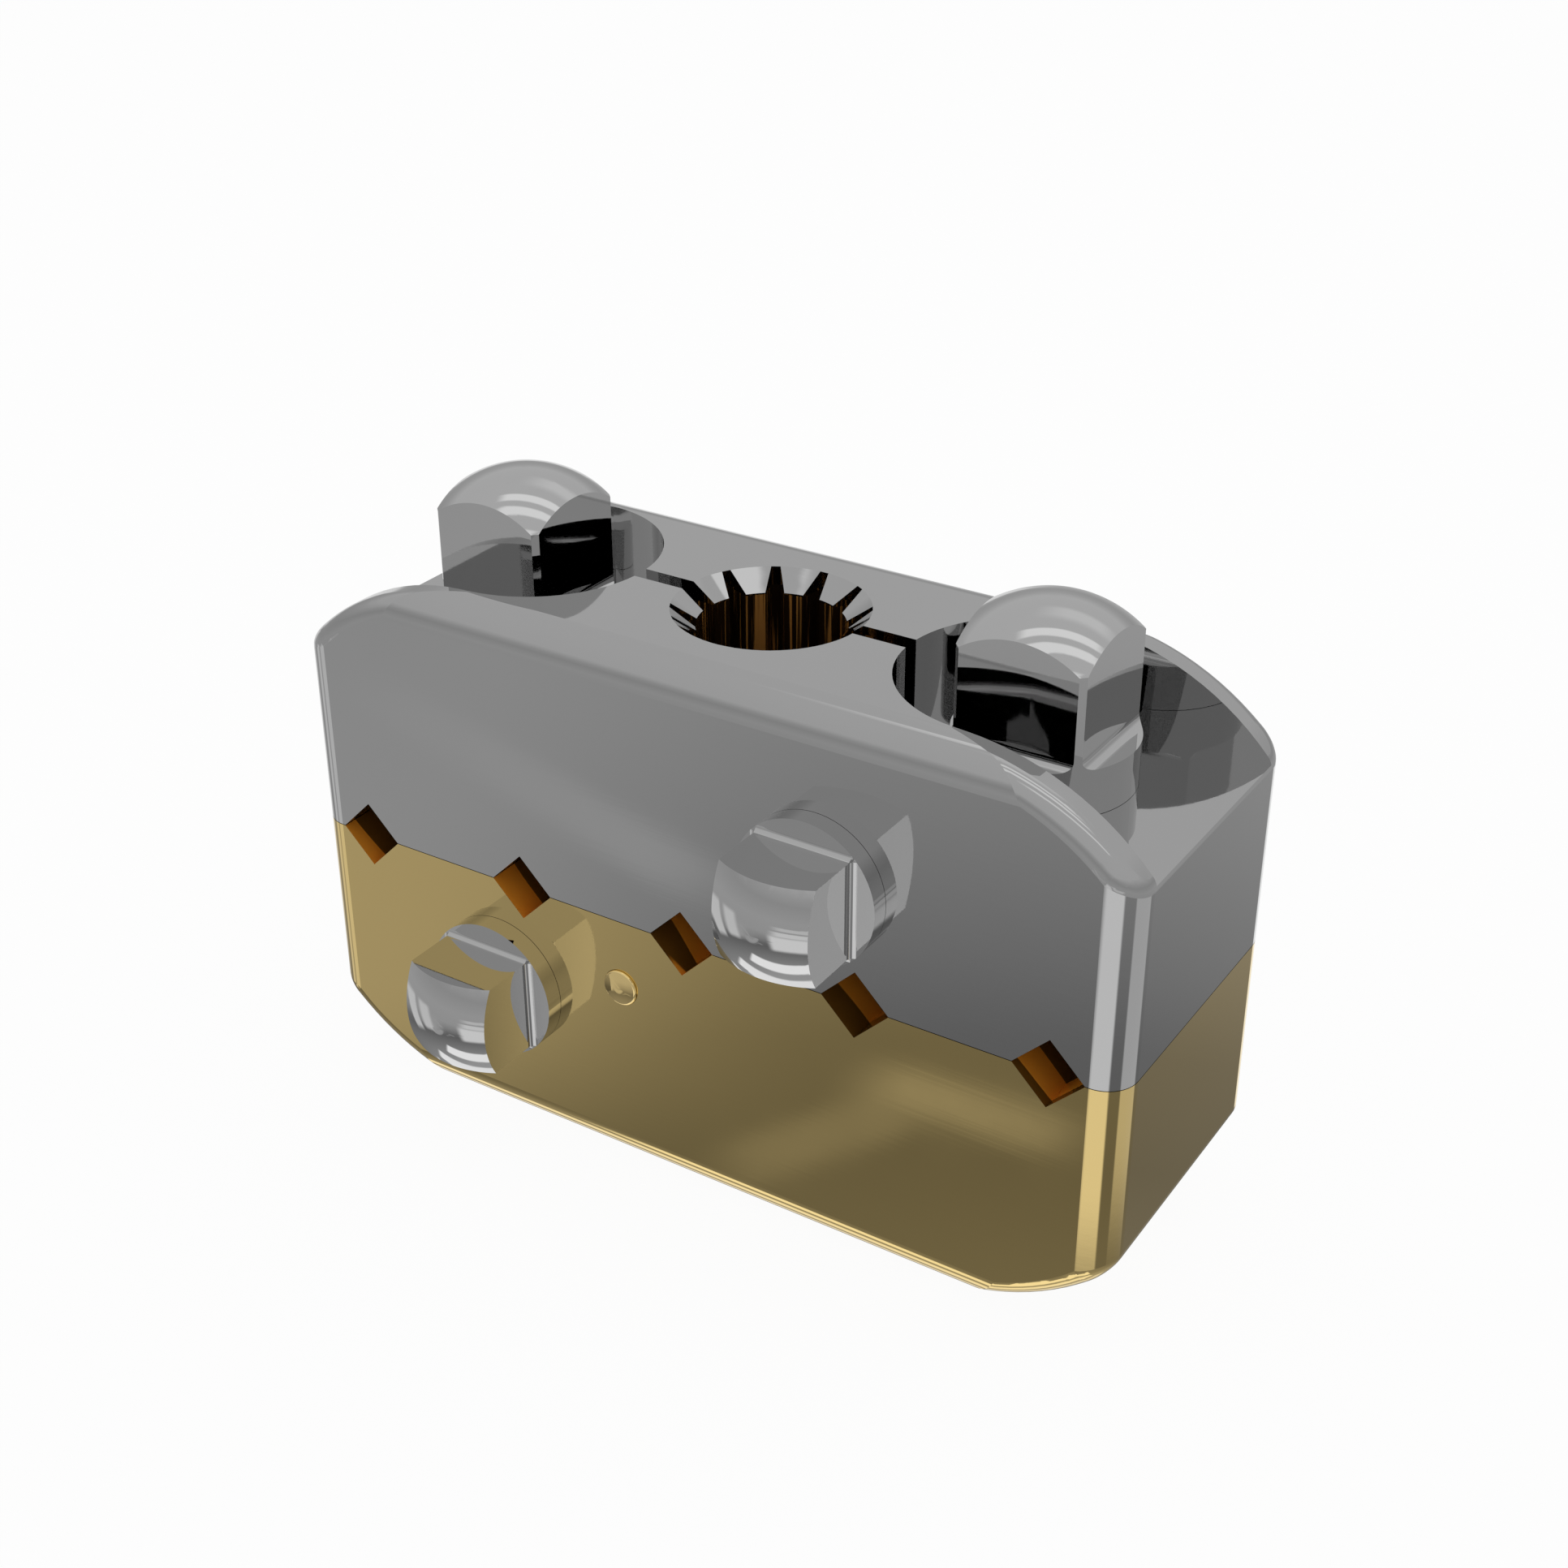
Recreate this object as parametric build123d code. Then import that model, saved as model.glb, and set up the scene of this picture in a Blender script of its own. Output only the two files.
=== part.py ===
from build123d import *
import math
import os

# External fixator pin clamp. Two jaws grip a row of bone pins between V-channels, and a
# splined socket through both jaws takes the post that carries the clamp. Millimetres, +Z up.
# The origin is on the base plane, under the axis of the post socket. X runs along the row of
# channels, and -Y is the face with the post bolts.

# Jaw blocks. Each jaw is this tall, and both have the same outline, one turned over.
jaw_length = 57.4
jaw_depth = 20.05
jaw_height = 18.05
end_height = 12.35        # height above the parting plane at which the end arc meets the end face
end_arc_radius = 16.3
long_edge_radius = 2.2    # rounding along the outer long edges
rim_radius = 1.2          # rounding along the end arcs
corner_radius = 2.0       # rounding of the four upright corners
parting_gap = 0.05        # between the closed jaws

# Pin channels, five V-grooves of 90 degrees in each jaw
inner_channel_x = 12.0
outer_channel_inset = 4.44   # from the end face to the axis of the outer channel
channel_half_width = 2.22

# Post socket with twelve splines
post_radius = 4.5         # over the tips of the teeth
spline_root_radius = 5.98
spline_count = 12
spline_mouth_width = 1.15
spline_root_width = 0.57
countersink_depth = 1.1
socket_chamfer = 0.5      # on the teeth at the parting plane
slit_width = 1.22
slit_end_land = 2.6       # the slit ends this far inside of the clamp bolt axis

# Clamp bolts and their pockets
clamp_bolt_inset = 10.5   # from the end face to the bolt axis
clamp_thread_radius = 3.0 # over the crests, and the plain shank's radius
clamp_thread_depth = 0.5
clamp_tip_chamfer = 0.4
clamp_thread_reach = 4.6  # length of thread in the lower jaw when closed
clamp_head_flats = 7.9
clamp_head_corner = 5.65  # height of the flats' corners above the collar
clamp_head_dome = 7.3     # radius of the domed end
clamp_head_root = 0.6     # hollow radius where the flats run out into the collar
clamp_collar_radius = 5.35
clamp_collar_height = 2.85
pocket_floor = 12.2       # height of the seat above the parting plane
pocket_radius = 7.77
pocket_centre_shift = 1.0 # from the bolt axis towards the middle of the jaw
bore_clearance = 0.15     # around the shank in the upper jaw
thread_clearance = 0.05   # running clearance of the threads
thread_mouth = 0.4        # chamfer at the mouth of a threaded hole

# Retaining rings that keep the clamp bolts in the upper jaw
ring_outer_radius = 3.65
ring_groove_radius = 2.5
ring_thickness = 0.7
ring_fit = 0.05
ring_gap_width = 1.6
ring_land = 0.5           # shoulder of the bolt below the ring
ring_recess_depth = 2.2
ring_recess_clearance = 0.2
ring_float = 0.15         # between the ring and the roof of its recess

# Post bolts, one in each jaw, that draw the slit together on the post
upper_post_bolt_x = 9.3
upper_post_bolt_height = 7.15   # above the parting plane
lower_post_bolt_x = -14.04
lower_post_bolt_depth = 7.56    # below the parting plane
post_thread_radius = 2.0
post_thread_depth = 0.4
post_thread_length = 6.6        # behind the slit
post_thread_reach = 16.5        # from the front face
post_tip_chamfer = 0.3
post_head_flats = 6.2
post_head_corner = 3.66         # height of the flats' corners above the collar
post_head_dome = 7.0
post_head_root = 0.4
post_collar_radius = 4.62
post_collar_height = 1.2
seat_gap = 0.02                 # under the collars
hole_end_clearance = 0.4

# Stop pin of the post, across the side of the socket in the lower jaw
stop_pin_x = -4.6
stop_pin_depth = 4.7
stop_pin_radius = 1.2
stop_pin_length = 16.0
stop_pin_proud = 0.3      # how far the end stands out of the front face
stop_pin_crown = 0.12
stop_pin_edge = 0.15      # rounding of the end
stop_pin_fit = 0.02

half_length = jaw_length / 2
half_depth = jaw_depth / 2
parting_z = jaw_height
upper_z = parting_z + parting_gap
outer_channel_x = half_length - outer_channel_inset
channel_xs = (-outer_channel_x, -inner_channel_x, 0, inner_channel_x, outer_channel_x)
clamp_bolt_x = half_length - clamp_bolt_inset
pocket_centre_x = clamp_bolt_x - pocket_centre_shift
slit_half_length = clamp_bolt_x - slit_end_land


def block(x0, x1, y0, y1, z0, z1):
    centre = ((x0 + x1) / 2, (y0 + y1) / 2, (z0 + z1) / 2)
    return Pos(*centre) * Box(x1 - x0, y1 - y0, z1 - z0)


def post_along_z(radius, x, z0, z1):
    return Pos(x, 0, (z0 + z1) / 2) * Cylinder(radius, z1 - z0)


def rod_along_y(radius, x, z, y0, y1):
    return Pos(x, (y0 + y1) / 2, z) * Rot(90, 0, 0) * Cylinder(radius, y1 - y0)


def jaw_outline():
    """Side view of a jaw: flat top that falls in a tangent arc to each end."""
    drop = jaw_height - end_height
    arc_x = half_length - math.sqrt(end_arc_radius**2 - (end_arc_radius - drop) ** 2)
    half_turn = math.asin((half_length - arc_x) / end_arc_radius) / 2
    mid_x = arc_x + end_arc_radius * math.sin(half_turn)
    mid_z = jaw_height - end_arc_radius * (1 - math.cos(half_turn))
    right = ThreePointArc((half_length, end_height), (mid_x, mid_z), (arc_x, jaw_height))
    left = ThreePointArc((-arc_x, jaw_height), (-mid_x, mid_z), (-half_length, end_height))
    edges = [
        Line((-half_length, 0), (half_length, 0)),
        Line((half_length, 0), (half_length, end_height)),
        right,
        Line((arc_x, jaw_height), (-arc_x, jaw_height)),
        left,
        Line((-half_length, end_height), (-half_length, 0)),
    ]
    return make_face(Plane.XZ * Curve(edges))


def jaw_blank():
    """Jaw with its parting face on z = 0 and its outer face at the top."""
    body = extrude(jaw_outline(), half_depth, both=True)
    body = fillet(body.edges().filter_by(Axis.Z), corner_radius)
    above_ends = body.edges().filter_by(lambda e: e.center().Z > end_height)
    rim = above_ends.filter_by(lambda e: abs(e.center().Y) > half_depth - corner_radius)
    body = fillet(rim, rim_radius)
    section = RectangleRounded(jaw_depth, 2 * jaw_height, long_edge_radius)
    return body & extrude(Plane.YZ * section, half_length + 1, both=True)


def channels():
    side = channel_half_width * math.sqrt(2)
    bar = Rot(0, 45, 0) * Box(side, jaw_depth + 2, side)
    return [Pos(x, 0, 0) * bar for x in channel_xs]


def spline_socket():
    """Cutters of the socket: bore, splines that narrow outwards, countersink and chamfer."""
    mouth, root = spline_mouth_width / 2, spline_root_width / 2
    inner = post_radius - 1
    mouth_at_inner = mouth + (mouth - root) / (spline_root_radius - post_radius)
    outline = Polyline(
        (inner, -mouth_at_inner), (spline_root_radius, -root),
        (spline_root_radius, root), (inner, mouth_at_inner), close=True,
    )
    spline = extrude(make_face(outline), jaw_height + 1)
    cutters = [post_along_z(post_radius, 0, 0, jaw_height + 1)]
    cutters += [Rot(0, 0, 360 / spline_count * i) * spline for i in range(spline_count)]
    middle = jaw_height - countersink_depth / 2
    cutters.append(Pos(0, 0, middle) * Cone(post_radius, spline_root_radius, countersink_depth))
    mouth_radius = post_radius + socket_chamfer
    cutters.append(Pos(0, 0, socket_chamfer / 2) * Cone(mouth_radius, post_radius, socket_chamfer))
    return cutters


def slit(length_each_way):
    return block(-length_each_way, length_each_way, -slit_width / 2, slit_width / 2, -1, jaw_height + 1)


def pocket(side):
    """Pocket of a clamp bolt: round inside, open through the end of the jaw."""
    top = jaw_height + 1
    round_part = post_along_z(pocket_radius, pocket_centre_x, pocket_floor, top)
    run_out = block(pocket_centre_x, half_length + 1, -pocket_radius, pocket_radius, pocket_floor, top)
    cutter = round_part + run_out
    return cutter if side > 0 else mirror(cutter, Plane.YZ)


def upper_jaw():
    jaw = jaw_blank() - channels() - spline_socket() - slit(clamp_bolt_x)
    for side in (-1, 1):
        x = side * clamp_bolt_x
        jaw -= pocket(side)
        jaw -= post_along_z(clamp_thread_radius + bore_clearance, x, -1, pocket_floor + 1)
        recess = ring_outer_radius + ring_recess_clearance
        jaw -= post_along_z(recess, x, -1, ring_recess_depth)
    jaw -= post_bolt_hole(upper_post_bolt_x, upper_post_bolt_height)
    return Pos(0, 0, upper_z) * jaw


def lower_jaw():
    """The same block turned over, with threads for the clamp bolts and the stop pin's hole."""
    jaw = Rot(0, 180, 0) * (jaw_blank() - channels() - spline_socket() - slit(slit_half_length))
    depth = clamp_thread_reach + hole_end_clearance
    for side in (-1, 1):
        x = side * clamp_bolt_x
        hole_radius = clamp_thread_radius + thread_clearance
        jaw -= post_along_z(hole_radius, x, -depth, 1)
        mouth = Cone(hole_radius, hole_radius + thread_mouth, thread_mouth)
        jaw -= Pos(x, 0, -thread_mouth / 2) * mouth
    jaw -= post_bolt_hole(lower_post_bolt_x, -lower_post_bolt_depth)
    pin_end = stop_pin_length - half_depth
    jaw -= rod_along_y(stop_pin_radius + stop_pin_fit, stop_pin_x, -stop_pin_depth,
                       -half_depth - 1, pin_end + stop_pin_fit)
    return Pos(0, 0, parting_z) * jaw


def post_bolt_hole(x, z):
    end = post_thread_reach - half_depth + hole_end_clearance
    return rod_along_y(post_thread_radius + thread_clearance, x, z, -half_depth - 1, end)


def bolt_head(flats, corner_height, dome_radius, root_radius, collar_radius, collar_height):
    """Square driver head over a round collar, standing on z = 0. Flats are milled on a bar as
    thick as the collar, which trims the square's corners. The end is a shallow dome, and the
    flats run out into the collar in a small hollow radius."""
    corner = min(flats / math.sqrt(2), collar_radius)
    apex = collar_height + corner_height + dome_radius - math.sqrt(dome_radius**2 - corner**2)
    square = Pos(0, 0, apex / 2) * Box(flats, flats, apex)
    skirt = root_radius + 0.01
    for turn in range(4):
        foot = block(-flats / 2, flats / 2, flats / 2 - 0.5, flats / 2 + skirt,
                     collar_height - 0.5, collar_height + root_radius)
        hollow = Pos(0, flats / 2 + root_radius, collar_height + root_radius)
        hollow = hollow * Rot(0, 90, 0) * Cylinder(root_radius, 2 * flats)
        square += Rot(0, 0, 90 * turn) * (foot - hollow)
    square &= post_along_z(collar_radius, 0, 0, apex + 1)
    square &= Pos(0, 0, apex - dome_radius) * Sphere(dome_radius)
    square -= block(-flats, flats, -flats, flats, -flats, collar_height / 2)
    return square + post_along_z(collar_radius, 0, 0, collar_height)


def clamp_bolt(side):
    """Clamp bolt with its head in the pocket and its thread in the lower jaw. The solid is as
    thick as the root of the thread where it is threaded."""
    seat = upper_z + pocket_floor + seat_gap
    tip = parting_z - clamp_thread_reach
    low, high = ring_heights()
    shoulder = low - ring_fit - ring_land
    head = bolt_head(clamp_head_flats, clamp_head_corner, clamp_head_dome,
                     clamp_head_root, clamp_collar_radius, clamp_collar_height)
    thread = post_along_z(clamp_thread_radius - clamp_thread_depth, 0, tip, shoulder + ring_land)
    thread = chamfer(thread.edges().group_by(Axis.Z)[0], clamp_tip_chamfer)
    bolt = Pos(0, 0, seat) * head + post_along_z(clamp_thread_radius, 0, shoulder, seat + 1)
    groove = post_along_z(clamp_thread_radius + 1, 0, low - ring_fit, high + ring_fit)
    bolt -= groove - post_along_z(ring_groove_radius, 0, low - 1, high + 1)
    return Pos(side * clamp_bolt_x, 0, 0) * (bolt + thread)


def ring_heights():
    roof = upper_z + ring_recess_depth - ring_float
    return roof - ring_thickness, roof


def retaining_ring(side):
    low, high = ring_heights()
    ring = post_along_z(ring_outer_radius, 0, low, high)
    ring -= post_along_z(ring_groove_radius + ring_fit, 0, low - 1, high + 1)
    ring -= block(0, ring_outer_radius + 1, -ring_gap_width / 2, ring_gap_width / 2, low - 1, high + 1)
    return Pos(side * clamp_bolt_x, 0, 0) * (Rot(0, 0, 90) * ring)


def post_bolt(x, z):
    """Bolt that crosses the slit: plain shank in front of it, thread behind."""
    head = bolt_head(post_head_flats, post_head_corner, post_head_dome,
                     post_head_root, post_collar_radius, post_collar_height)
    thread_start = post_thread_length - post_thread_reach
    shank = post_along_z(post_thread_radius, 0, thread_start, post_collar_height / 2)
    thread = post_along_z(post_thread_radius - post_thread_depth, 0, -post_thread_reach,
                          thread_start + post_thread_depth)
    thread = chamfer(thread.edges().group_by(Axis.Z)[0], post_tip_chamfer)
    return Pos(x, -half_depth - seat_gap, z) * (Rot(90, 0, 0) * (head + shank + thread))


def stop_pin():
    """Plain pin with a crowned and rounded end that stands proud of the front face."""
    tip = -half_depth - stop_pin_proud
    rim = tip + stop_pin_crown
    end = stop_pin_length - half_depth
    crown_radius = (stop_pin_radius**2 + stop_pin_crown**2) / (2 * stop_pin_crown)
    edges = [
        RadiusArc((0, tip), (stop_pin_radius, rim), -crown_radius),
        Line((stop_pin_radius, rim), (stop_pin_radius, end)),
        Line((stop_pin_radius, end), (0, end)),
        Line((0, end), (0, tip)),
    ]
    profile = make_face(edges)
    corner = profile.vertices().sort_by_distance((stop_pin_radius, rim, 0))[0]
    pin = revolve(fillet(corner, stop_pin_edge), Axis.Y)
    return Pos(stop_pin_x, 0, parting_z - stop_pin_depth) * pin


pieces = {
    "lower_jaw": lower_jaw(),
    "upper_jaw": upper_jaw(),
    "clamp_bolt_left": clamp_bolt(-1),
    "clamp_bolt_right": clamp_bolt(1),
    "retaining_ring_left": retaining_ring(-1),
    "retaining_ring_right": retaining_ring(1),
    "post_bolt_upper": post_bolt(upper_post_bolt_x, upper_z + upper_post_bolt_height),
    "post_bolt_lower": post_bolt(lower_post_bolt_x, parting_z - lower_post_bolt_depth),
    "stop_pin": stop_pin(),
}

os.makedirs("parts", exist_ok=True)
for name, piece in pieces.items():
    solids = piece.solids()
    print(name, len(solids), "solid", round(piece.volume, 1), "mm3")
    export_step(solids[0] if len(solids) == 1 else piece, "parts/" + name + ".step")
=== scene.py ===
import bpy
import math
from mathutils import Matrix, Vector


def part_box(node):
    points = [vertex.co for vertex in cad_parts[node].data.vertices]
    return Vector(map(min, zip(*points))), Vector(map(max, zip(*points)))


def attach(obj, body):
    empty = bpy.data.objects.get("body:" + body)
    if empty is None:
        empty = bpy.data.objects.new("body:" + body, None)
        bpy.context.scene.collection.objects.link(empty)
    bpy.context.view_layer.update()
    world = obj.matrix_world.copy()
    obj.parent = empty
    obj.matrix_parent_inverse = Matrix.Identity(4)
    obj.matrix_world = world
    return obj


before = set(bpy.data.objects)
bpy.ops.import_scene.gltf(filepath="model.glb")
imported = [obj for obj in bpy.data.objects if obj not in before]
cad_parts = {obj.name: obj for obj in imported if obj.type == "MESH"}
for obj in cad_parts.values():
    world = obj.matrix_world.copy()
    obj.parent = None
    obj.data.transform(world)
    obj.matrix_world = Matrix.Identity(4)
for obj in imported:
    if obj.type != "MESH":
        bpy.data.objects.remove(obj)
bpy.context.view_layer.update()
print("frame loaded:", ", ".join(sorted(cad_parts)))

# Camera fitted to the photograph, metres and degrees, image 1932 by 1932
camera = {
    "place": (0.0664980, -0.1026239, 0.0915037),
    "aim": (0.0008742, 0.0, 0.0245166),
    "fieldOfView": 38.0127,
    "roll": -0.1154,
    "clip": (0.001, 20),
}


def addCamera():
    data = bpy.data.cameras.new("photoCamera")
    data.sensor_fit = "HORIZONTAL"
    data.angle = math.radians(camera["fieldOfView"])
    data.clip_start, data.clip_end = camera["clip"]
    seen = bpy.data.objects.new("photoCamera", data)
    bpy.context.collection.objects.link(seen)
    place = Vector(camera["place"])
    looking = (Vector(camera["aim"]) - place).to_track_quat("-Z", "Y").to_matrix().to_4x4()
    turn = Matrix.Rotation(math.radians(camera["roll"]), 4, "Z")
    seen.matrix_world = Matrix.Translation(place) @ looking @ turn
    bpy.context.scene.camera = seen


addCamera()
print("camera set")


# Small helpers for node trees
def addNode(tree, kind, inputs=None, **settings):
    node = tree.nodes.new(kind)
    for name, value in settings.items():
        setattr(node, name, value)
    for socket, value in (inputs or {}).items():
        if isinstance(value, bpy.types.NodeSocket):
            tree.links.new(value, node.inputs[socket])
        else:
            node.inputs[socket].default_value = value
    return node


def maths(tree, operation, *values):
    node = addNode(tree, "ShaderNodeMath", dict(enumerate(values)), operation=operation)
    return node.outputs[0]


def softStep(tree, value, start, end):
    sockets = {"Value": value, "From Min": start, "From Max": end}
    step = addNode(tree, "ShaderNodeMapRange", sockets, interpolation_type="SMOOTHSTEP")
    return step.outputs["Result"]


def noise(tree, place, scale, detail):
    sockets = {"Vector": place, "Scale": scale, "Detail": detail}
    return addNode(tree, "ShaderNodeTexNoise", sockets).outputs["Fac"]


# Studio that the polished metal mirrors: light at each height, in degrees
studio = {
    "level": 0.62,
    "brightest": 2.5,
    "heights": [
        (-90, 0.8), (-66, 0.75), (-56, 0.6), (-46, 0.42), (-38, 0.28), (-35, 0.33), (-33, 0.44),
        (-30, 0.57), (-25, 0.74), (-12, 0.78), (4, 0.67), (12, 0.77), (22, 1.0), (60, 1.03),
        (90, 1.03),
    ],
}
# Cards round the object: middle, half sizes and soft edges in degrees, azimuth 90 is +X
cards = {
    "leftFill": {
        "azimuth": -128, "height": -30,
        "halfSize": (6, 3), "edge": (16, 6), "strength": 0.78,
    },
    "leftCard": {
        "azimuth": -124, "height": -28,
        "halfSize": (4, 7), "edge": (6, 4), "strength": 1.25,
    },
    "leftEdgeCard": {
        "azimuth": -104, "height": -29,
        "halfSize": (5, 8), "edge": (4, 4), "strength": 1.25,
    },
    "frontLow": {
        "azimuth": 167, "height": -33.5,
        "halfSize": (24, 5), "edge": (8, 4), "strength": 1.5,
    },
    "frontMiddle": {
        "azimuth": 165, "height": -24,
        "halfSize": (20, 1.5), "edge": (12, 1), "strength": 1.35,
    },
    "frontHigh": {
        "azimuth": 163, "height": -19,
        "halfSize": (18, 1), "edge": (14, 1), "strength": 1.15,
    },
    "rightStrip": {
        "azimuth": 72, "height": -33,
        "halfSize": (26, 4), "edge": (6, 4), "strength": 1.0,
    },
    "backStrip": {
        "azimuth": -1, "height": -32,
        "halfSize": (10, 4), "edge": (4, 3), "strength": 1.7,
    },
    "lowWindow": {
        "azimuth": -52, "height": -18,
        "halfSize": (20, 12), "edge": (8, 5), "strength": 1.3,
    },
}
# Flat panels one unit above and below the object: middle, half sizes and soft edges in units
panels = {
    "stripBack": {
        "above": True, "middle": (0.02, 0.31), "turn": 22,
        "halfSize": (0.44, 0.06), "edge": (0.2, 0.04), "strength": 1.7,
    },
    "stripMiddle": {
        "above": True, "middle": (0.14, 0.05), "turn": 22,
        "halfSize": (0.44, 0.06), "edge": (0.2, 0.04), "strength": 1.7,
    },
    "stripFront": {
        "above": True, "middle": (0.5, -0.22), "turn": 22,
        "halfSize": (0.3, 0.05), "edge": (0.2, 0.04), "strength": 1.6,
    },
    "ceilingGlow": {
        "above": True, "middle": (0.0, 0.95), "turn": 20,
        "halfSize": (0.2, 0.1), "edge": (0.5, 0.25), "strength": 1.28,
    },
    "floorGleam": {
        "above": False, "middle": (-1.18, -1.41), "turn": 15,
        "halfSize": (0.17, 0.01), "edge": (0.15, 0.04), "strength": 0.8,
    },
    "floorGlint": {
        "above": False, "middle": (-0.677, -1.108), "turn": -61,
        "halfSize": (0.04, 0.01), "edge": (0.06, 0.03), "strength": 0.45,
    },
    "floorGlare": {
        "above": False, "middle": (-0.606, -1.193), "turn": -4,
        "halfSize": (0.04, 0.008), "edge": (0.07, 0.03), "strength": 0.6,
    },
    "lowPanelThird": {
        "above": False, "middle": (-0.25, 0.3), "turn": -4,
        "halfSize": (0.52, 0.1), "edge": (0.06, 0.05), "strength": 1.5,
    },
    "lowPanelBack": {
        "above": False, "middle": (-0.22, -0.14), "turn": -4,
        "halfSize": (0.5, 0.1), "edge": (0.06, 0.05), "strength": 1.9,
    },
    "lowPanelFront": {
        "above": False, "middle": (-0.12, -0.57), "turn": -4,
        "halfSize": (0.48, 0.1), "edge": (0.06, 0.05), "strength": 2.0,
    },
}


def addStudio():
    world = bpy.data.worlds.new("softStudio")
    bpy.context.scene.world = world
    world.use_nodes = True
    tree = world.node_tree
    direction = addNode(tree, "ShaderNodeTexCoord").outputs["Generated"]
    part = addNode(tree, "ShaderNodeSeparateXYZ", {"Vector": direction}).outputs
    height = maths(tree, "DEGREES", maths(tree, "ARCSINE", part["Z"]))
    azimuth = maths(tree, "DEGREES", maths(tree, "ARCTAN2", part["X"], part["Y"]))
    light = heightLight(tree, height)
    for card in cards.values():
        turned = maths(tree, "WRAP", maths(tree, "SUBTRACT", azimuth, card["azimuth"]), 180, -180)
        raised = maths(tree, "SUBTRACT", height, card["height"])
        light = softBox(tree, light, turned, raised, card)
    steepness = maths(tree, "ABSOLUTE", part["Z"])
    onPlane = [maths(tree, "DIVIDE", part[axis], steepness) for axis in ("X", "Y")]
    for panel in panels.values():
        turn = math.radians(panel["turn"])
        cosine, sine = math.cos(turn), math.sin(turn)
        x, y = (maths(tree, "SUBTRACT", onPlane[axis], panel["middle"][axis]) for axis in (0, 1))
        along = maths(tree, "MULTIPLY_ADD", x, cosine, maths(tree, "MULTIPLY", y, sine))
        across = maths(tree, "MULTIPLY_ADD", y, cosine, maths(tree, "MULTIPLY", x, -sine))
        side = maths(tree, "GREATER_THAN" if panel["above"] else "LESS_THAN", part["Z"], 0.0)
        light = softBox(tree, light, along, across, panel, side)
    light = maths(tree, "MULTIPLY", light, studio["level"])
    seenByCamera = addNode(tree, "ShaderNodeLightPath").outputs["Is Camera Ray"]
    light = addNode(tree, "ShaderNodeMix", {0: seenByCamera, 2: light, 3: 1.0}).outputs[0]
    background = tree.nodes["Background"]
    background.inputs["Color"].default_value = (1, 1, 1, 1)
    tree.links.new(light, background.inputs["Strength"])


def heightLight(tree, height):
    place = maths(tree, "MULTIPLY_ADD", height, 1 / 180, 0.5)
    ramp = addNode(tree, "ShaderNodeValToRGB", {"Fac": place})
    stops = ramp.color_ramp.elements
    last = len(studio["heights"]) - 1
    for index, (degrees, light) in enumerate(studio["heights"]):
        where = degrees / 180 + 0.5
        stop = stops.new(where) if 0 < index < last else stops[0 if index == 0 else -1]
        stop.position = where
        stop.color = (*[light / studio["brightest"]] * 3, 1)
    return maths(tree, "MULTIPLY", ramp.outputs["Color"], studio["brightest"])


def softBox(tree, light, along, across, box, side=1.0):
    (long, wide), (endEdge, sideEdge) = box["halfSize"], box["edge"]
    inLength = softStep(tree, maths(tree, "ABSOLUTE", along), long + endEdge, long)
    inWidth = softStep(tree, maths(tree, "ABSOLUTE", across), wide + sideEdge, wide)
    mask = maths(tree, "MULTIPLY", maths(tree, "MULTIPLY", inLength, inWidth), side)
    return addNode(tree, "ShaderNodeMix", {0: mask, 2: light, 3: box["strength"]}).outputs[0]


# Pale floor, white with a soft shadow to the camera and clear to the mirroring metal
floorLook = {"colour": (0.95, 0.95, 0.95), "size": 6.0, "glow": 0.95}


def addFloor():
    half = floorLook["size"] / 2
    mesh = bpy.data.meshes.new("floor")
    corners = [(-half, -half, 0), (half, -half, 0), (half, half, 0), (-half, half, 0)]
    mesh.from_pydata(corners, [], [(0, 1, 2, 3)])
    floor = bpy.data.objects.new("floor", mesh)
    bpy.context.collection.objects.link(floor)
    paint = bpy.data.materials.new("paleFloor")
    paint.use_nodes = True
    tree = paint.node_tree
    tree.nodes.remove(tree.nodes["Principled BSDF"])
    matt = addNode(tree, "ShaderNodeBsdfDiffuse", {"Color": (*floorLook["colour"], 1)})
    glow = addNode(tree, "ShaderNodeEmission", {"Color": (1, 1, 1, 1), "Strength": 1.0})
    clear = addNode(tree, "ShaderNodeBsdfTransparent")
    path = addNode(tree, "ShaderNodeLightPath").outputs
    share = maths(tree, "MULTIPLY", path["Is Camera Ray"], floorLook["glow"])
    pale = {0: share, 1: matt.outputs[0], 2: glow.outputs[0]}
    pale = addNode(tree, "ShaderNodeMixShader", pale).outputs[0]
    seen = {0: path["Is Glossy Ray"], 1: pale, 2: clear.outputs[0]}
    seen = addNode(tree, "ShaderNodeMixShader", seen).outputs[0]
    tree.links.new(seen, tree.nodes["Material Output"].inputs["Surface"])
    floor.data.materials.append(paint)


# Three slim overhead lamps, side by side
overhead = {
    "count": 3,
    "middle": (0.07, 0.02, 0.6),
    "spacing": 0.07,
    "size": (0.035, 0.3),
    "watts": 0.075,
    "aim": (0, 0, 0.02),
}


def addLamps():
    for index in range(overhead["count"]):
        data = bpy.data.lights.new("overhead" + str(index + 1), "AREA")
        data.shape = "RECTANGLE"
        data.size, data.size_y = overhead["size"]
        data.energy = overhead["watts"]
        light = bpy.data.objects.new(data.name, data)
        # The metal mirrors the strips of the studio in place of the lamps
        light.visible_glossy = False
        bpy.context.collection.objects.link(light)
        shift = (index - (overhead["count"] - 1) / 2) * overhead["spacing"]
        place = Vector(overhead["middle"]) + Vector((shift, 0, 0))
        aim = Vector(overhead["aim"]) - place
        turn = aim.to_track_quat("-Z", "Y").to_matrix().to_4x4()
        light.matrix_world = Matrix.Translation(place) @ turn


addStudio()
addFloor()
addLamps()
bpy.context.scene.view_settings.view_transform = "Standard"
print("studio, floor and lamps placed")

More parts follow.
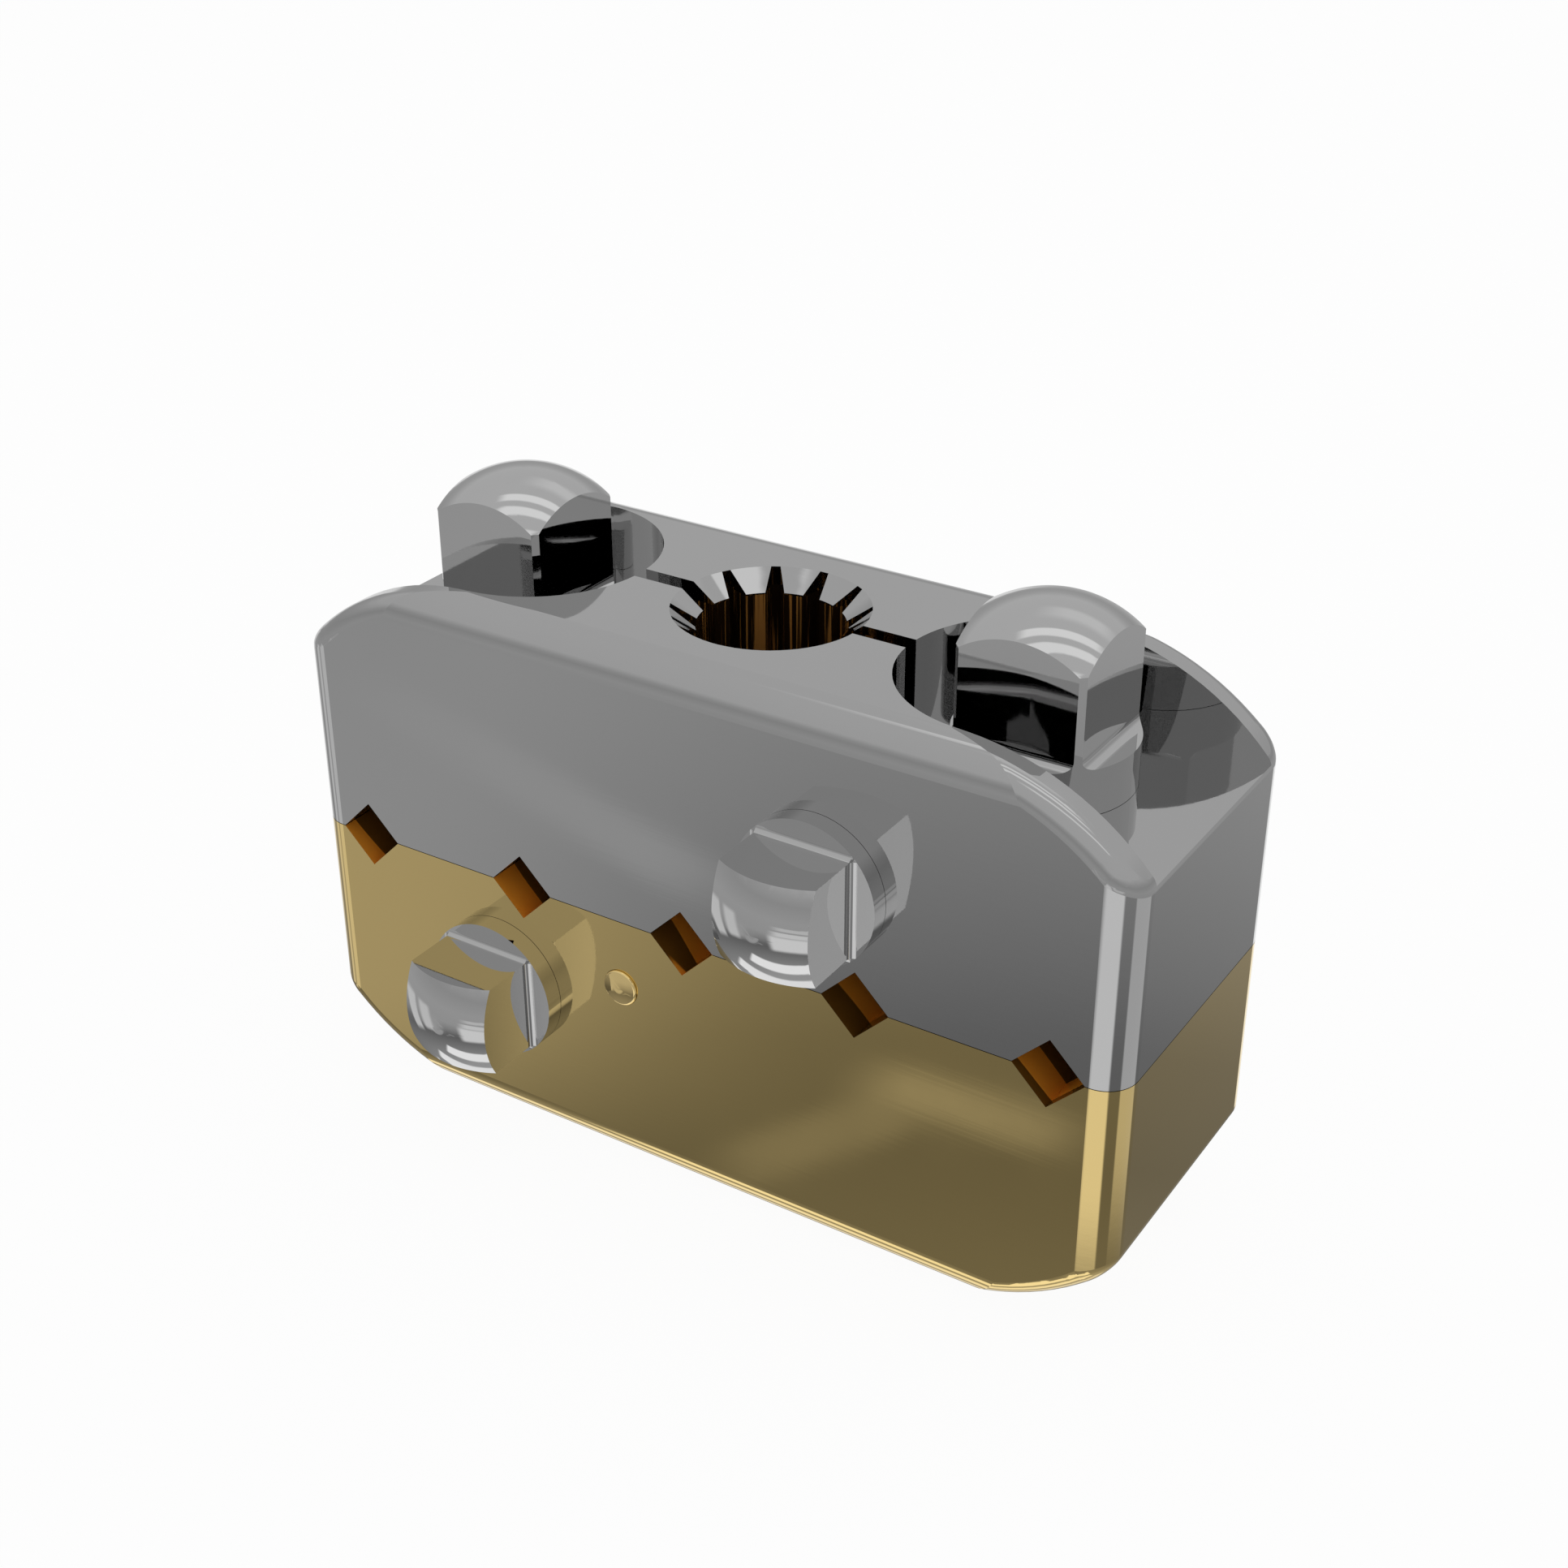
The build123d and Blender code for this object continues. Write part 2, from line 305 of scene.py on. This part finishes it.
# Polished metals: sizes of the cloudy tone and of the grain along X, Y and Z in metres
greyMetal = {
    "colour": (0.5, 0.5, 0.5), "roughness": (0.025, 0.05), "tone": 0.03,
    "cloud": 0.018, "grain": (0.02, 0.0004, 0.0004), "grainDepth": 4e-7,
}
boltMetal = {
    "colour": (0.57, 0.57, 0.57), "roughness": (0.02, 0.045), "tone": 0.03,
    "cloud": 0.008, "grain": (0.0005, 0.0005, 0.0005), "grainDepth": 3e-7,
}
goldMetal = {
    "colour": (0.74, 0.563, 0.238), "roughness": (0.03, 0.06), "tone": 0.04,
    "cloud": 0.02, "grain": (0.02, 0.0004, 0.0004), "grainDepth": 4e-7,
}
ringMetal = {
    "colour": (0.3, 0.3, 0.305), "roughness": (0.2, 0.32), "tone": 0.1,
    "cloud": 0.003, "grain": (0.0003, 0.0003, 0.0003), "grainDepth": 2e-6,
}
pinMetal = {
    "colour": (0.97, 0.74, 0.33), "roughness": (0.03, 0.06), "tone": 0.05,
    "cloud": 0.002, "grain": (0.0003, 0.004, 0.0003), "grainDepth": 3e-7,
}
# Where the noise that wears the polish starts and ends, and how much finer than the tone it is
wear = {"start": 0.35, "end": 0.65, "finer": 3}


def polishedMetal(name, finish):
    material = bpy.data.materials.new(name)
    material.use_nodes = True
    tree = material.node_tree
    shader = tree.nodes["Principled BSDF"]
    shader.inputs["Metallic"].default_value = 1.0
    place = addNode(tree, "ShaderNodeTexCoord").outputs["Object"]
    cloud = noise(tree, place, 1 / finish["cloud"], 4.0)
    darker, lighter = 1 - finish["tone"], 1 + finish["tone"]
    low, high = ([part * side for part in finish["colour"]] for side in (darker, lighter))
    tone = {0: cloud, 6: (*low, 1), 7: (*high, 1)}
    tone = addNode(tree, "ShaderNodeMix", tone, data_type="RGBA").outputs[2]
    tree.links.new(tone, shader.inputs["Base Color"])
    smooth, worn = finish["roughness"]
    share = noise(tree, place, wear["finer"] / finish["cloud"], 6.0)
    rough = {"Value": share, "From Min": wear["start"], "From Max": wear["end"],
             "To Min": smooth, "To Max": worn}
    rough = addNode(tree, "ShaderNodeMapRange", rough).outputs["Result"]
    tree.links.new(rough, shader.inputs["Roughness"])
    scale = [1 / size for size in finish["grain"]]
    stretched = addNode(tree, "ShaderNodeMapping", {"Vector": place, "Scale": scale}).outputs[0]
    lines = noise(tree, stretched, 1.0, 3.0)
    grain = {"Strength": 1.0, "Distance": finish["grainDepth"], "Height": lines}
    grain = addNode(tree, "ShaderNodeBump", grain).outputs["Normal"]
    tree.links.new(grain, shader.inputs["Normal"])
    return material


# The pin channel and post socket insides get painted shade and painted reflections of the gold,
# dark orange in bands and streaks. The streak is their width in metres, made longer by a small
# stretch along X, Y and Z, and the share is where the noise turns from the painted shade to the
# painted reflection
paintedChannelLight = {
    "places": (-0.02426, -0.012, 0.0, 0.012, 0.02426),
    "halfWidth": 0.00224,
    "depth": 0.01002,
    "dark": (0.15, 0.062, 0.008),
    "light": (0.95, 0.34, 0.03),
    "streak": 0.0021,
    "stretch": (0.16, 1, 0.16),
    "detail": 0.0,
    "roughness": 0.15,
    "metallic": 0.25,
    "share": (0.455, 0.475),
}
# Inside the post socket: painted shade, near black, with painted orange streaks of reflected gold
socket = {
    "radius": 0.00605,
    "countersink": 0.0012,
    "dark": (0.03, 0.015, 0.006),
    "light": (0.9, 0.42, 0.1),
    "streak": 0.00025,
    "stretch": (1, 1, 0.02),
    "detail": 3.0,
    "roughness": 0.2,
    "metallic": 0.65,
    "share": (0.53, 0.63),
}


# Paints shade and reflected gold into the base colour inside the mask, with its own roughness and
# metallic
def paintLightInside(material, mask, inside):
    tree = material.node_tree
    shader = tree.nodes["Principled BSDF"]
    place = addNode(tree, "ShaderNodeTexCoord").outputs["Object"]
    scale = [along / inside["streak"] for along in inside["stretch"]]
    stretched = addNode(tree, "ShaderNodeMapping", {"Vector": place, "Scale": scale}).outputs[0]
    share = softStep(tree, noise(tree, stretched, 1.0, inside["detail"]), *inside["share"])
    colour = {0: share, 6: (*inside["dark"], 1), 7: (*inside["light"], 1)}
    colour = addNode(tree, "ShaderNodeMix", colour, data_type="RGBA").outputs[2]
    paint = shader.inputs["Base Color"]
    blend = {0: mask, 6: paint.links[0].from_socket, 7: colour}
    blend = addNode(tree, "ShaderNodeMix", blend, data_type="RGBA").outputs[2]
    tree.links.new(blend, paint)
    for name in ("roughness", "metallic"):
        entry = shader.inputs[name.capitalize()]
        outside = entry.links[0].from_socket if entry.links else entry.default_value
        blend = {0: mask, 2: outside, 3: inside[name]}
        tree.links.new(addNode(tree, "ShaderNodeMix", blend).outputs[0], entry)


def channelMask(tree):
    place = addNode(tree, "ShaderNodeTexCoord").outputs["Object"]
    part = addNode(tree, "ShaderNodeSeparateXYZ", {"Vector": place}).outputs
    nearest = None
    for middle in paintedChannelLight["places"]:
        away = maths(tree, "ABSOLUTE", maths(tree, "SUBTRACT", part["X"], middle))
        nearest = away if nearest is None else maths(tree, "MINIMUM", nearest, away)
    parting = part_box("lower_jaw")[1][2]
    above = maths(tree, "ABSOLUTE", maths(tree, "SUBTRACT", part["Z"], parting))
    inDiamond = maths(tree, "LESS_THAN", maths(tree, "ADD", nearest, above), paintedChannelLight["halfWidth"])
    inDepth = maths(tree, "LESS_THAN", maths(tree, "ABSOLUTE", part["Y"]), paintedChannelLight["depth"])
    return maths(tree, "MULTIPLY", inDiamond, inDepth)


def socketMask(tree):
    place = addNode(tree, "ShaderNodeTexCoord").outputs["Object"]
    part = addNode(tree, "ShaderNodeSeparateXYZ", {"Vector": place}).outputs
    square = maths(tree, "MULTIPLY", part["Y"], part["Y"])
    squares = maths(tree, "MULTIPLY_ADD", part["X"], part["X"], square)
    inRadius = maths(tree, "LESS_THAN", squares, socket["radius"] ** 2)
    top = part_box("upper_jaw")[1][2] - socket["countersink"]
    below = maths(tree, "LESS_THAN", part["Z"], top)
    above = maths(tree, "GREATER_THAN", part["Z"], socket["countersink"])
    return maths(tree, "MULTIPLY", inRadius, maths(tree, "MULTIPLY", below, above))


def dress(node, material):
    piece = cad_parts[node]
    if not piece.material_slots:
        piece.data.materials.append(material)
    for slot in piece.material_slots:
        slot.material = material


polishedGrey = polishedMetal("polishedGrey", greyMetal)
goldAnodised = polishedMetal("goldAnodised", goldMetal)
polishedBolt = polishedMetal("polishedBolt", boltMetal)
springSteel = polishedMetal("springSteel", ringMetal)
goldPin = polishedMetal("goldPin", pinMetal)
for material in (polishedGrey, goldAnodised):
    # Painted shade and painted reflection of the gold inside the socket and the pin channels
    paintLightInside(material, socketMask(material.node_tree), socket)
    paintLightInside(material, channelMask(material.node_tree), paintedChannelLight)
dress("upper_jaw", polishedGrey)
dress("lower_jaw", goldAnodised)
dress("stop_pin", goldPin)
for node in ("clamp_bolt_left", "clamp_bolt_right", "post_bolt_upper", "post_bolt_lower"):
    dress(node, polishedBolt)
for node in ("retaining_ring_left", "retaining_ring_right"):
    dress(node, springSteel)
print("metals finished")

# Threads in metres: each starts near the tip of its bolt and stands out of its root cylinder
clampThread = {
    "rootRadius": 0.0025, "depth": 0.00047, "pitch": 0.001, "turns": 4.7, "start": 0.00055,
}
postThread = {
    "rootRadius": 0.0016, "depth": 0.00037, "pitch": 0.0007, "turns": 8.6, "start": 0.0004,
}
boltThreads = {
    "clamp_bolt_left": clampThread,
    "clamp_bolt_right": clampThread,
    "post_bolt_upper": postThread,
    "post_bolt_lower": postThread,
}
# A thread runs out over this part of a turn at each end, down to this share of its depth
threadEnds = {"turns": 0.4, "share": 0.05}


def threadTree():
    tree = bpy.data.node_groups.new("thread", "GeometryNodeTree")
    for name in ("Root radius", "Depth", "Pitch", "Turns"):
        tree.interface.new_socket(name, in_out="INPUT", socket_type="NodeSocketFloat")
    tree.interface.new_socket("Metal", in_out="INPUT", socket_type="NodeSocketMaterial")
    tree.interface.new_socket("Geometry", in_out="OUTPUT", socket_type="NodeSocketGeometry")
    sizes = tree.nodes.new("NodeGroupInput").outputs
    height = maths(tree, "MULTIPLY", sizes["Pitch"], sizes["Turns"])
    spiral = {"Resolution": 48, "Rotations": sizes["Turns"], "Start Radius": sizes["Root radius"],
              "End Radius": sizes["Root radius"], "Height": height, "Reverse": True}
    helix = addNode(tree, "GeometryNodeCurveSpiral", spiral).outputs[0]
    helix = addNode(tree, "GeometryNodeSetCurveNormal", {"Curve": helix}, mode="Z_UP").outputs[0]
    along = addNode(tree, "GeometryNodeSplineParameter").outputs["Factor"]
    fromEnd = maths(tree, "MINIMUM", along, maths(tree, "SUBTRACT", 1.0, along))
    steepness = maths(tree, "MULTIPLY", sizes["Turns"], 1 / threadEnds["turns"])
    runOut = maths(tree, "MULTIPLY_ADD", fromEnd, steepness, threadEnds["share"])
    fade = maths(tree, "MINIMUM", runOut, 1.0)
    diamond = {"Resolution": 4, "Radius": sizes["Depth"]}
    diamond = addNode(tree, "GeometryNodeCurvePrimitiveCircle", diamond).outputs[0]
    ridge = {"Curve": helix, "Profile Curve": diamond, "Scale": fade, "Fill Caps": True}
    ridge = addNode(tree, "GeometryNodeCurveToMesh", ridge).outputs[0]
    real = addNode(tree, "GeometryNodeRealizeInstances", {"Geometry": ridge}).outputs[0]
    made = {"Geometry": real, "Material": sizes["Metal"]}
    made = addNode(tree, "GeometryNodeSetMaterial", made).outputs[0]
    tree.links.new(made, tree.nodes.new("NodeGroupOutput").inputs["Geometry"])
    return tree


def addThread(tree, bolt, sizes, metal):
    low, high = (Vector(corner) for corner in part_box(bolt))
    middle = (low + high) / 2
    if bolt.startswith("clamp"):
        place = Matrix.Translation((middle.x, middle.y, low.z + sizes["start"]))
    else:
        tip = Vector((middle.x, high.y - sizes["start"], middle.z))
        place = Matrix.Translation(tip) @ Matrix.Rotation(math.pi / 2, 4, "X")
    maker = bpy.data.objects.new(bolt + "_thread", bpy.data.meshes.new(bolt + "_blank"))
    bpy.context.collection.objects.link(maker)
    modifier = maker.modifiers.new("thread", "NODES")
    modifier.node_group = tree
    values = {"Root radius": sizes["rootRadius"], "Depth": sizes["depth"], "Pitch": sizes["pitch"],
              "Turns": sizes["turns"], "Metal": metal}
    for socket in tree.interface.items_tree:
        if socket.in_out == "INPUT":
            modifier[socket.identifier] = values[socket.name]
    grown = maker.evaluated_get(bpy.context.evaluated_depsgraph_get())
    mesh = bpy.data.meshes.new_from_object(grown)
    maker.modifiers.remove(modifier)
    mesh.name = bolt + "_thread"
    mesh.transform(place)
    maker.data = mesh
    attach(maker, bolt)


threadMaker = threadTree()
for bolt, sizes in boltThreads.items():
    addThread(threadMaker, bolt, sizes, polishedBolt)
print("threads cut")
